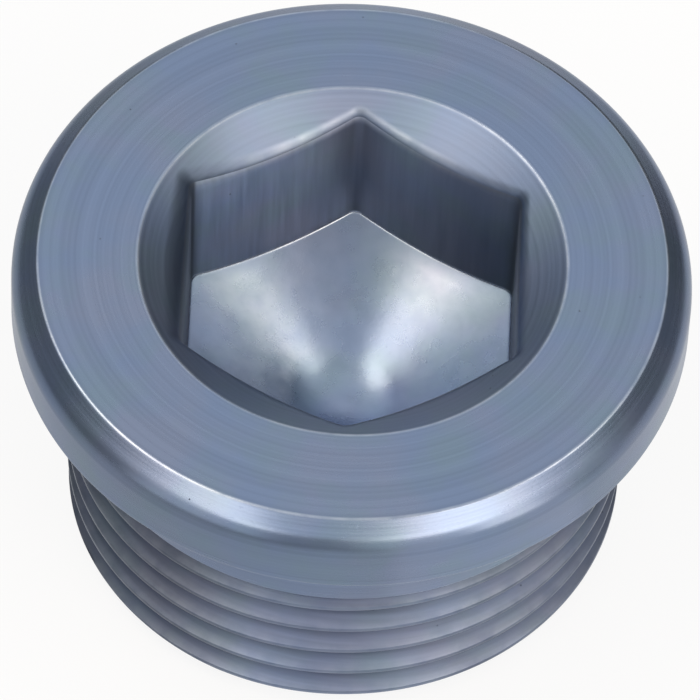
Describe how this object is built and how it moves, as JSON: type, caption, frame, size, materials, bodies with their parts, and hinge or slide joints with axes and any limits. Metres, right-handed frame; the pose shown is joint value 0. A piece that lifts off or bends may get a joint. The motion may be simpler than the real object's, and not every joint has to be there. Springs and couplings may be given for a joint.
{
  "type": "hexagon socket screw plug with collar",
  "caption": "Collared screw plug with a parallel fine thread and a countersunk hexagon socket, for closing a filler or drain hole.",
  "frame": {"origin": "centre of the flat end face of the threaded shank, on which the plug stands", "axes": "+Z along the axis from the threaded end towards the socket; two of the six socket corners lie on Y"},
  "size_m": [0.036, 0.036, 0.0204],
  "materials": {
    "zinc_plated_steel": "blue zinc plate over turned steel, satin"
  },
  "bodies": {
    "root": {"plug_body": "zinc_plated_steel"}
  },
  "joints": []
}
